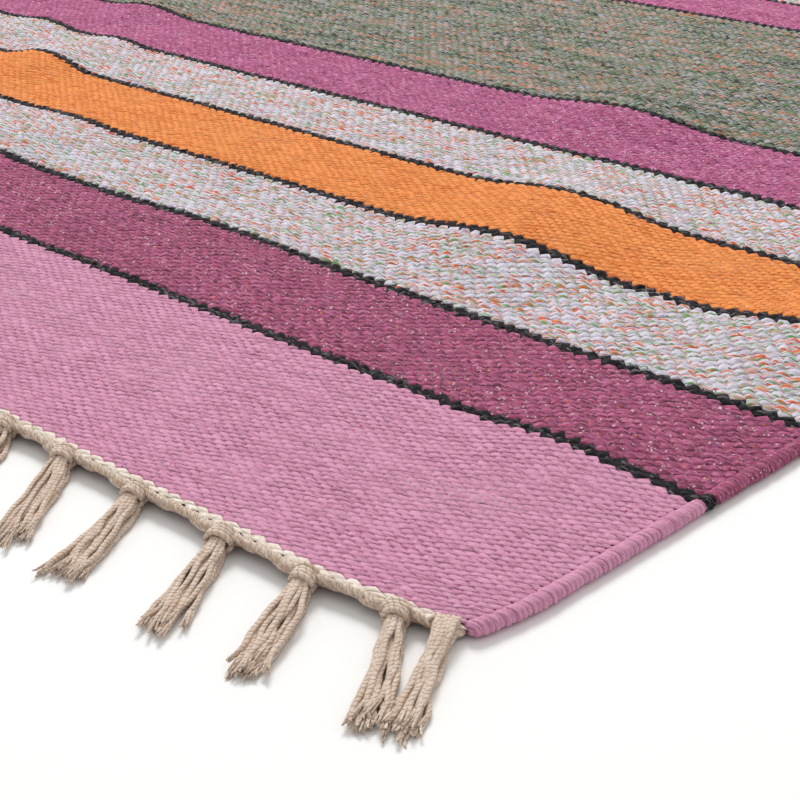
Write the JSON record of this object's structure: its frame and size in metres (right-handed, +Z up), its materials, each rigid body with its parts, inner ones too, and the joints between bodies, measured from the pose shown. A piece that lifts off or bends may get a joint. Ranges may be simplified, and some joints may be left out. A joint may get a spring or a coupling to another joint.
{
  "type": "kilim",
  "caption": "Striped flatwoven cotton kilim lying on a floor, with rounded selvedges and a knotted cream fringe at each end.",
  "frame": {"origin": "on the floor under the middle of the rug, fringes included", "axes": "+X across the rug along its wefts, +Y along its length and warps, +Z up from the floor"},
  "size_m": [1.238, 1.7628, 0.0144],
  "materials": {
    "striped_weave": "matt",
    "cream_cotton": "matt"
  },
  "bodies": {
    "root": {"kilim_cloth": "striped_weave", "fringe_near": "cream_cotton", "fringe_far": "cream_cotton"}
  },
  "joints": []
}
